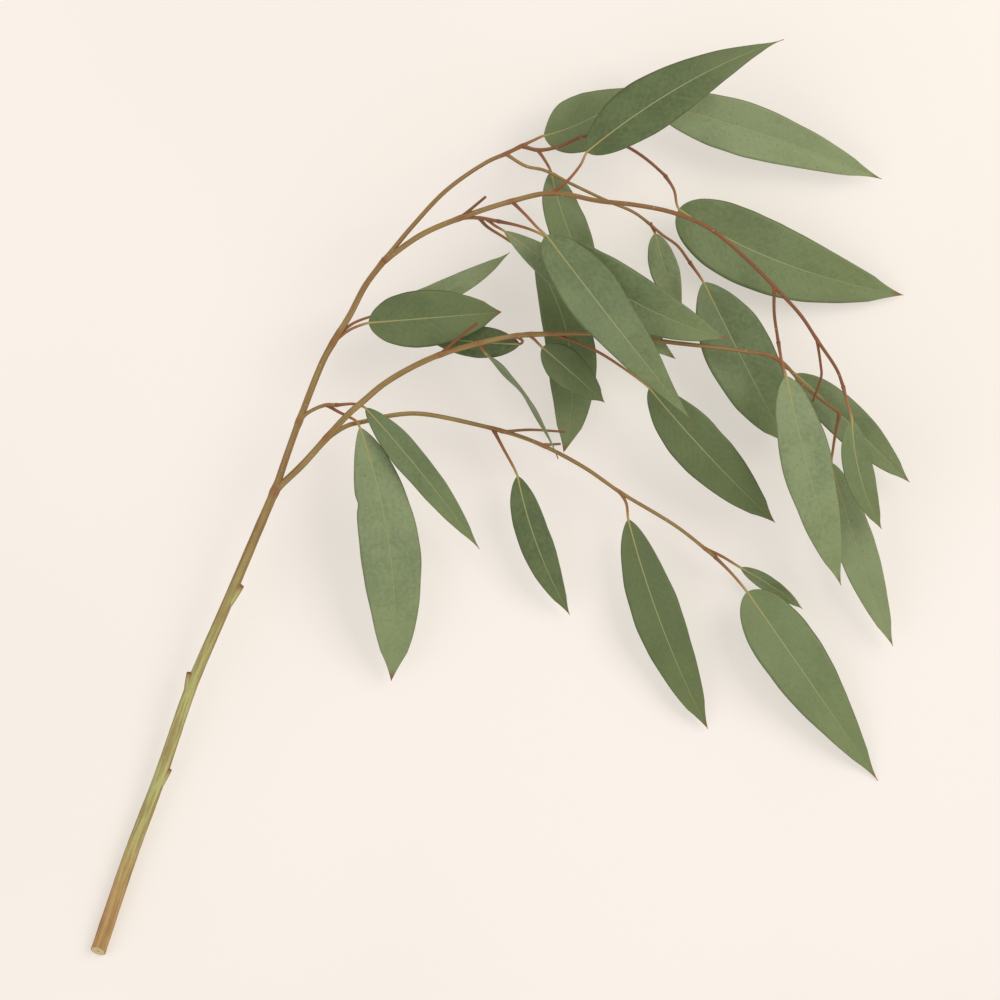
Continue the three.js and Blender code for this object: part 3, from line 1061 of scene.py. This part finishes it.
@dataclass
class WoodyStem:
    """The woody piece: the stem with its slanting cut and leaf scars, and all its twigs."""

    twigs: list[Twig]
    scars: list[Scar]
    nodes: list[Point]
    cut_slant: float = 30.0
    step: float = 1.6
    swelling: float = 0.14
    swelling_reach: float = 2.4
    node_red: float = 0.55
    flare: float = 0.2
    flare_reach: float = 2.6
    unevenness: float = 0.035
    scar_heel_radius: float = 2.3
    scar_radius: float = 1.5
    scar_hollow: float = 0.5
    scar_youth: float = 0.25

    def node_share(self, place: Vector) -> float:
        """Find how near a place is to a node, where a leaf or a twig grows.

        Args:
            place: a point of a middle line.

        Returns:
            From 0 far off to 1 at a node.
        """
        near = [math.exp(-((place - Vector(n)).length / self.swelling_reach) ** 2) for n in self.nodes]
        return min(sum(near), 1.0)

    def radius(self, twig: Twig, place: Vector, run: float, whole: float) -> float:
        """Find a twig's radius at a place, with its root's flare and the swellings at its nodes.

        Args:
            twig: the twig.
            place: a point of its middle line.
            run: the length from its start to there.
            whole: its whole length.

        Returns:
            The radius.
        """
        start, end = twig.diameters
        radius = (start + (end - start) * run / whole) / 2
        wander = noise.noise(place * 0.16) + 0.5 * noise.noise(place * 0.5)
        root = 0.0 if twig is self.twigs[0] else self.flare * math.exp(-run / self.flare_reach)
        return radius * (1 + self.swelling * self.node_share(place) + self.unevenness * wander + root)

    def run(self, bm: bmesh.types.BMesh, twig: Twig) -> None:
        """Add one twig, with a rounded end.

        Args:
            bm: the woody piece's mesh.
            twig: the twig.
        """
        walk = even_points([Vector(p) for p in twig.path], self.step)
        step = (walk[1] - walk[0]).length
        whole = step * (len(walk) - 1)
        radii = [self.radius(twig, place, step * i, whole) for i, place in enumerate(walk)]
        ahead = (walk[-1] - walk[-2]).normalized()
        last, end = walk[-1], radii[-1]
        for angle in (35.0, 62.0, 82.0):
            walk.append(last + ahead * end * math.sin(math.radians(angle)))
            radii.append(end * math.cos(math.radians(angle)))
        line = [to_frame(place) for place in walk]
        rings = sweep(bm, line, [r * MM for r in radii], twig.sides, WoodFace.BARK.value)
        place_layer = bm.verts.layers.float_vector["wood_place"]
        side_layer = bm.verts.layers.float_vector["wood_side"]
        for i, ring in enumerate(rings):
            share = min(1.0, i * step / whole)
            youth = twig.youth[0] + (twig.youth[1] - twig.youth[0]) * share
            red = self.node_red * self.node_share(walk[i])
            for vert in ring:
                vert[place_layer] = Vector((youth, red, i * step * MM))
                vert[side_layer] = (vert.co - line[i]).normalized()

    def cut(self, bm: bmesh.types.BMesh) -> Vector:
        """Cut the stem's end off aslant and close it with a pale face.

        Args:
            bm: the woody piece's mesh, with only the stem in it.

        Returns:
            The middle of the cut, in metres.
        """
        first, second = [to_frame(Vector(p)) for p in self.twigs[0].path[:2]]
        along = (second - first).normalized()
        slant = math.radians(self.cut_slant)
        outward = (UP * math.sin(slant) - along * math.cos(slant)).normalized()
        middle = first + along * (self.twigs[0].diameters[0] / 2 * MM * math.tan(slant))
        parts = bm.verts[:] + bm.edges[:] + bm.faces[:]
        bmesh.ops.bisect_plane(bm, geom=parts, plane_co=middle, plane_no=outward, clear_outer=True)
        border = [edge for edge in bm.edges if edge.is_boundary]
        face = bmesh.ops.edgeloop_fill(bm, edges=border)["faces"][0]
        face.normal_update()
        if face.normal.dot(outward) < 0:
            face.normal_flip()
        face.smooth = False
        for edge in border:
            edge.smooth = False
        inner = bmesh.ops.inset_region(bm, faces=[face], thickness=0.45 * MM, depth=0.1 * MM)["faces"]
        face.material_index = WoodFace.CUT.value
        for rim in inner:
            rim.smooth = False
        return middle

    def scar(self, bm: bmesh.types.BMesh, scar: Scar) -> None:
        """Add one old leaf base: a stub that swells to a hollow broken end.

        Args:
            bm: the woody piece's mesh.
            scar: the leaf base.
        """
        heel, end = Vector(scar.heel), Vector(scar.end)
        shares = [i / 8 for i in range(9)]
        walk = [to_frame(heel.lerp(end, share)) for share in shares]
        spread = self.scar_radius - self.scar_heel_radius
        radii = [(self.scar_heel_radius + spread * share ** 2) * MM for share in shares]
        rings = sweep(bm, walk, radii, 14, WoodFace.BARK.value)
        place_layer = bm.verts.layers.float_vector["wood_place"]
        side_layer = bm.verts.layers.float_vector["wood_side"]
        for ring, share, place in zip(rings, shares, walk):
            for vert in ring:
                vert[place_layer] = Vector((self.scar_youth, max(0.0, share * 3.2 - 2.3), 0.0))
                vert[side_layer] = (vert.co - place).normalized()
        rim = set(rings[-1])
        broken = next(f for v in rim for f in v.link_faces if set(f.verts) == rim)
        bmesh.ops.inset_region(bm, faces=[broken], thickness=0.45 * MM)
        bmesh.ops.translate(bm, verts=broken.verts, vec=(heel - end).normalized() * self.scar_hollow * MM)
        for vert in broken.verts:
            vert[place_layer] = Vector((self.scar_youth, 1.0, 0.0))

    def build(self, bark: bpy.types.Material, cut: CutFinish) -> bpy.types.Object:
        """Build the woody piece and dress it.

        Args:
            bark: the material of its bark.
            cut: the finish of its cut.

        Returns:
            The piece's object.
        """
        bm = bmesh.new()
        bm.verts.layers.float_vector.new("wood_place")
        bm.verts.layers.float_vector.new("wood_side")
        self.run(bm, self.twigs[0])
        middle = self.cut(bm)
        for twig in self.twigs[1:]:
            self.run(bm, twig)
        for scar in self.scars:
            self.scar(bm, scar)
        materials = [bark, cut.material(middle)]
        return finished_piece(bm, "fine_stem_with_twigs", "stem_with_twigs", materials)


@dataclass
class Studio:
    """The pale floor, the soft lights and the camera that looks straight down on the branch."""

    floor_size: float = 8.0
    floor_drop: float = 0.0003
    camera_height: float = 3.2
    filled_share: float = 0.92
    sensor: float = 36.0
    key_power: float = 26.0
    fill_power: float = 8.0
    sky_strength: float = 0.62

    def floor(self) -> None:
        """Lay the floor."""
        bm = bmesh.new()
        bmesh.ops.create_grid(bm, x_segments=8, y_segments=8, size=self.floor_size / 2)
        mesh = bpy.data.meshes.new("floor")
        bm.to_mesh(mesh)
        bm.free()
        floor = bpy.data.objects.new("floor", mesh)
        floor.location.z = -self.floor_drop
        mesh.materials.append(FloorFinish().material())
        bpy.context.scene.collection.objects.link(floor)

    def lamp(self, name: str, place: Point, power: float, size: float, colour: str) -> None:
        """Hang one soft square light, turned to the branch.

        Args:
            name: the light's name.
            place: where it hangs, in metres.
            power: its power, in watts.
            size: its side, in metres.
            colour: its colour, as on a screen.
        """
        light = bpy.data.lights.new(name, "AREA")
        light.energy = power
        light.size = size
        light.color = linear(colour)[:3]
        lamp = bpy.data.objects.new(name, light)
        lamp.location = place
        lamp.rotation_euler = (-Vector(place)).to_track_quat("-Z", "Y").to_euler()
        bpy.context.scene.collection.objects.link(lamp)

    def sky(self) -> None:
        """Fill the room with even pale light."""
        world = bpy.data.worlds.new("room")
        world.use_nodes = True
        room = world.node_tree.nodes["Background"]
        room.inputs["Color"].default_value = linear("fbf6ef")
        room.inputs["Strength"].default_value = self.sky_strength
        bpy.context.scene.world = world

    def camera(self) -> None:
        """Set the camera over the branch's middle."""
        low, high = CAD_BOX
        middle = (Vector(low) + Vector(high)) / 2
        widest = max(high[0] - low[0], high[1] - low[1]) / self.filled_share
        view = bpy.data.cameras.new("camera")
        view.sensor_width = self.sensor
        view.lens = self.sensor * (self.camera_height - middle.z) / widest
        view.clip_end = 100.0
        camera = bpy.data.objects.new("camera", view)
        camera.location = (middle.x, middle.y, self.camera_height)
        bpy.context.scene.collection.objects.link(camera)
        bpy.context.scene.camera = camera

    def build(self) -> None:
        """Set up the floor, the lights and the camera."""
        bpy.context.scene.view_settings.view_transform = "Standard"
        self.floor()
        self.sky()
        self.lamp("key_light", (1.5, 0.9, 1.9), self.key_power, 1.5, "fff8ee")
        self.lamp("fill_light", (-1.6, -0.6, 1.7), self.fill_power, 1.8, "f6f8ff")
        self.camera()


TWIGS = [
    Twig((7.8, 4.4), (0.0, 0.55), [
        (-201, -228, 3.7), (-184, -178, 6.5), (-168.5, -137, 9.5), (-153, -93, 15), (-136, -54, 22),
        (-119.5, -15.5, 28), (-111, 4, 31.8)], sides=24),
    Twig((3.6, 2.9), (0.5, 0.6), [
        (-111, 4, 31.8), (-104.5, 23, 33.5), (-99, 38, 36), (-87, 68, 39), (-82, 77, 40), (-74, 90, 42),
        (-66, 105, 44), (-57, 117, 45)], sides=16),
    Twig((2.4, 2.0), (0.66, 0.8), [
        (-57, 117, 45), (-43, 134, 44), (-26, 152, 42.5), (-6, 166, 40.5), (3, 170, 39.8), (11, 174, 38.5)]),
    Twig((1.9, 1.5), (0.85, 1.0), [
        (11, 174, 38.5), (19, 172, 37), (30, 174, 35), (42, 179, 33), (54, 178, 31), (66, 172.5, 29.5),
        (74, 167, 28.3), (82, 160, 27)]),
    Twig((1.7, 1.4), (0.62, 0.8), [
        (3, 170, 39.8), (13, 164, 39), (22, 162, 38.5), (34, 156, 38), (53, 147, 37), (67, 141, 35),
        (81, 130, 33), (88, 125, 32), (94, 117, 31)]),
    Twig((2.9, 1.6), (0.56, 1.05), [
        (-57, 117, 45), (-38, 130, 47.5), (-19, 138, 50), (6, 146, 53), (26, 150, 54.5), (49, 146, 55.5),
        (67, 144, 56), (86, 140, 56), (104, 132, 56), (122, 117, 55), (135, 104, 54), (148, 90, 53),
        (156, 78, 52.5), (166, 63, 51.5), (169, 55, 51)], sides=16),
    Twig((1.7, 1.5), (1.0, 1.0), [(135, 104, 54), (135, 91, 53.5), (137, 77, 52.5)]),
    Twig((1.4, 1.2), (1.0, 1.0), [(156, 78, 52.5), (158, 66, 49), (158.5, 60, 46), (154.5, 48, 43)]),
    Twig((1.8, 1.6), (0.75, 0.85), [(-19, 138, 50), (-10, 138, 48.5), (-1, 136.5, 46.5)]),
    Twig((1.7, 1.3), (0.95, 1.0), [(-19, 138, 50), (-13, 143, 52), (-7, 148, 53)]),
    Twig((3.5, 1.6), (0.5, 0.78), [
        (-111, 4, 31.8), (-98, 16, 34.5), (-87, 28, 38), (-75, 41, 42.5), (-67, 48, 44), (-56, 57, 45.5),
        (-36, 68, 47), (-19, 74, 47), (8, 80, 46.5), (26, 81, 45.5), (55, 81, 43), (84, 77, 41),
        (118, 73, 39.5), (137, 69, 39), (151, 55, 38.5), (168, 42, 38)], sides=16),
    Twig((1.7, 1.3), (0.9, 1.0), [(-29, 71, 47), (-20, 79, 50), (-11, 86, 51)]),
    Twig((2.4, 1.7), (0.45, 0.6), [
        (-85, 30, 38.7), (-75, 36, 34.5), (-67, 38, 31), (-54, 41, 27), (-40, 42, 25), (-13, 37, 23),
        (15, 29, 21.5), (41, 16, 20.5), (60, 3, 20), (88, -14, 19), (107, -29, 19)]),
    Twig((1.5, 1.2), (0.75, 0.85), [(1, 33, 22), (15, 34, 24), (32, 33, 25)]),
    Twig((1.5, 1.2), (0.7, 0.85), [(22, 26.5, 21), (30, 27, 22.5)]),
    Twig((1.9, 1.7), (0.5, 0.66), [(-99, 38, 36), (-95, 42, 38), (-86, 46, 39.5), (-81, 46, 39.5)]),
]

SCARS = [
    Scar((-187.6, -189, 6), (-186, -177.5, 6.9)),
    Scar((-172, -146.5, 9), (-164.4, -134.6, 10.2)),
    Scar((-155, -98, 14.3), (-154, -86.5, 16.5)),
    Scar((-135.6, -53.5, 22), (-127.9, -43, 24.1)),
]

LEAVES = [
    Leaf(Tone.PALE, 30, 0.46, -8, 12, 1.4, 2.6, (-85, 46, 39.5),
         [(-80, 43, 37.5), (-75, 40.5, 37.5), (-70.5, 38, 36.5)], (-69, 35, 35), (-54, -29, 28),
         (-54, -91, 7), nicks=((0.27, -0.08),)),
    Leaf(Tone.MID, 15.5, 0.4, 14, -10, 0.9, 2.2, (-81, 46, 39.5),
         [(-71, 46.5, 39.5)], (-66, 44.5, 39), (-38, 12, 38), (-10, -25, 26)),
    Leaf(Tone.DARK, 17, 0.42, 10, 8, 0.8, 2, (-3, 34, 22.3),
         [(1.5, 25.5, 22)], (9, 11, 20), (19, -24, 17), (35, -58, 6)),
    Leaf(Tone.DARK, 24.5, 0.43, 9, -12, 1.1, 2.4, (60, 3, 20),
         [(63, -2.5, 19.5)], (64, -10.5, 18.5), (81, -64, 15), (104, -115, 3)),
    Leaf(Tone.MID, 31.5, 0.34, -6, 8, 1.2, 2.3, (107, -29, 19),
         [(115, -37, 20)], (123, -46.5, 19.5), (153.5, -90, 14), (189, -141, 0.4)),
    Leaf(Tone.MID, 8, 0.42, 8, 0, 0.6, 1.6, (102, -25, 19),
         [(110, -28.5, 15.5)], (120, -34.5, 13.5), (136, -44, 12), (151, -55, 7)),
    Leaf(Tone.DARK, 28.5, 0.42, 4, 8, 1.1, 2, (-82, 77, 40),
         [(-74, 83, 42)], (-64.5, 86.5, 43), (-33, 89, 44), (1, 92, 39), power=1.4),
    Leaf(Tone.PALE, 12, 0.42, -8, 0, 0.9, 2, (-79.5, 81, 40.5),
         [(-72, 86.5, 38.5)], (-63, 90, 36.5), (-27, 102.5, 31), (5, 122, 20)),
    Leaf(Tone.DARK, 16, 0.42, 8, 0, 0.7, 2, (8, 80, 46.5),
         [(11.5, 77.5, 44)], (10, 76, 41.5), (-14, 77.5, 34.5), (-38, 81, 26)),
    Leaf(Tone.MID, 15, 0.42, 82, 10, 0.6, 2, (-10, 76, 47),
         [(-8.5, 73.5, 45)], (-6.5, 71, 42.5), (13, 51, 40), (29, 19.5, 33)),
    Leaf(Tone.DARK, 19, 0.42, -12, 0, 0.8, 1.8, (15, 80.3, 46.2),
         [(18, 77.5, 44)], (21, 74.5, 42), (35, 62.5, 38), (52, 47.5, 30)),
    Leaf(Tone.MID, 25, 0.5, -10, 0, 1.1, 2.4, (-10, 138, 48.5),
         [(-6, 134, 40), (4, 128, 31)], (17.5, 118.5, 24), (35, 73.5, 18), (32, 23, 9)),
    Leaf(Tone.PALE, 19, 0.5, 6, 0, 0.7, 2, (-6, 137.3, 47.5),
         [(-2.5, 134.5, 45)], (2, 132, 42.5), (45, 101, 37.5), (87, 69, 33)),
    Leaf(Tone.MID, 29, 0.3, -14, 16, 1.3, 2.6, (6, 146, 53),
         [(13, 139, 55), (19, 132.5, 56)], (23, 129, 56), (58.5, 82.5, 64), (95.5, 37, 47), power=1.9),
    Leaf(Tone.MID, 28, 0.42, 8, 0, 1.1, 2.2, (-1, 136.5, 46.5),
         [(8, 134.5, 48.5), (16, 132, 49)], (22, 129, 48.5), (63, 98.5, 50), (112.5, 78.5, 44.5)),
    Leaf(Tone.DARK, 26.5, 0.42, 10, -10, 1.2, 2.4, (26, 81, 45.5),
         [(38, 77, 43), (49, 72, 41.5), (63, 63, 40)], (74, 54.5, 38), (103.5, 21, 33), (137, -12, 15)),
    Leaf(Tone.MID, 28, 0.42, 8, 0, 1.1, 1.8, (11, 174, 38.5),
         [(17, 177, 35.5)], (22, 179.5, 31), (43.5, 188, 17), (72, 205, 0.4)),
    Leaf(Tone.DARK, 28, 0.3, -10, 20, 1.1, 2.2, (26, 150, 54.5),
         [(33.5, 156, 56), (40, 164, 56.5)], (43, 170, 56.5), (90.5, 203, 58), (140, 226, 45), power=2.0),
    Leaf(Tone.PALE, 27, 0.38, 8, 0, 1, 2.4, (51, 178.5, 31.5),
         [(64, 187, 29)], (77, 195.5, 26), (131, 180.5, 20), (190.5, 159.3, 6)),
    Leaf(Tone.MID, 21, 0.42, -16, 20, 0.9, 2, (19, 172, 37),
         [(22.5, 167, 35)], (25.5, 161.5, 32), (35, 130, 29), (51, 99, 22)),
    Leaf(Tone.MID, 37, 0.36, 8, 6, 1.3, 2.5, (82, 160, 27),
         [(86.5, 153, 25)], (89, 143.5, 23), (139.5, 117.5, 17), (201.5, 101.5, 3),
         power=1.4),
    Leaf(Tone.MID, 34.5, 0.45, -8, 0, 1.2, 2.2, (94, 117, 31),
         [], (101, 107, 29), (121.5, 66.5, 26), (143, 27, 15)),
    Leaf(Tone.PALE, 14.5, 0.42, 10, 0, 0.6, 1.6, (74.5, 136, 34),
         [], (77, 131, 32), (82.5, 111, 30), (89.5, 91, 25)),
    Leaf(Tone.PALE, 25.5, 0.4, -10, 14, 1.2, 2.8, (137, 77, 52.5),
         [(139, 66, 52.5)], (141, 60, 51.5), (153, 9, 50), (169, -43, 30)),
    Leaf(Tone.PALE, 19.5, 0.42, 10, 0, 1, 2.4, (168, 42, 38),
         [(166, 32, 35), (165, 24, 31)], (164.5, 17.5, 27), (178.5, -28, 22), (196, -73.5, 9)),
    Leaf(Tone.MID, 15, 0.42, 8, 10, 0.8, 2, (169, 55, 51),
         [(171, 47, 50.5)], (173.5, 38.5, 49.5), (177.5, 11, 48), (188.5, -15, 39)),
    Leaf(Tone.MID, 20, 0.42, -6, 0, 0.9, 2, (137, 69, 39),
         [(140.5, 65.5, 34.5)], (146.5, 61.5, 30), (174.5, 36, 26), (204, 8, 14)),
]

LEAF_FINISHES = {
    (Tone.PALE, Face.UPPER): LeafFinish(
        "pale_leaf", "8a9a71", "788963", "93a177", "919e6c", "a6af83", "6f6a42"),
    (Tone.MID, Face.UPPER): LeafFinish(
        "mid_leaf", "74855d", "63734e", "7d8d5f", "849160", "95a071", "625f39"),
    (Tone.DARK, Face.UPPER): LeafFinish(
        "dark_leaf", "64744c", "53623f", "6d7c4f", "738052", "899466", "575533"),
    (Tone.PALE, Face.UNDER): LeafFinish(
        "pale_leaf_under", "93a07e", "88956f", "99a57f", "97a076", "a9b38c", "6f6a42"),
    (Tone.MID, Face.UNDER): LeafFinish(
        "mid_leaf_under", "8a9672", "7d8965", "919c76", "919b70", "a1ab82", "625f39"),
    (Tone.DARK, Face.UNDER): LeafFinish(
        "dark_leaf_under", "7f8b67", "737f5c", "87926c", "879168", "98a37b", "575533"),
}


def main() -> None:
    """Build the studio, the woody stem and the leaves in order."""
    logging.basicConfig(level=logging.INFO, format="%(name)s: %(message)s")
    Studio().build()
    finishes = {}
    marks = LeafMarks().group()
    rib = RibFinish().material()
    for (tone, face), finish in LEAF_FINISHES.items():
        finishes[tone, face] = finish.material(marks)
        finishes[tone, Face.RIB] = rib
    nodes = [leaf.attach for leaf in LEAVES] + [twig.path[0] for twig in TWIGS[1:]]
    stem = WoodyStem(TWIGS, SCARS, nodes)
    stem.build(BarkFinish().material(BarkMarks().group()), CutFinish())
    for order, leaf in enumerate(LEAVES):
        leaf.order = order
        leaf.build(finishes)


if __name__ == "__main__":
    main()
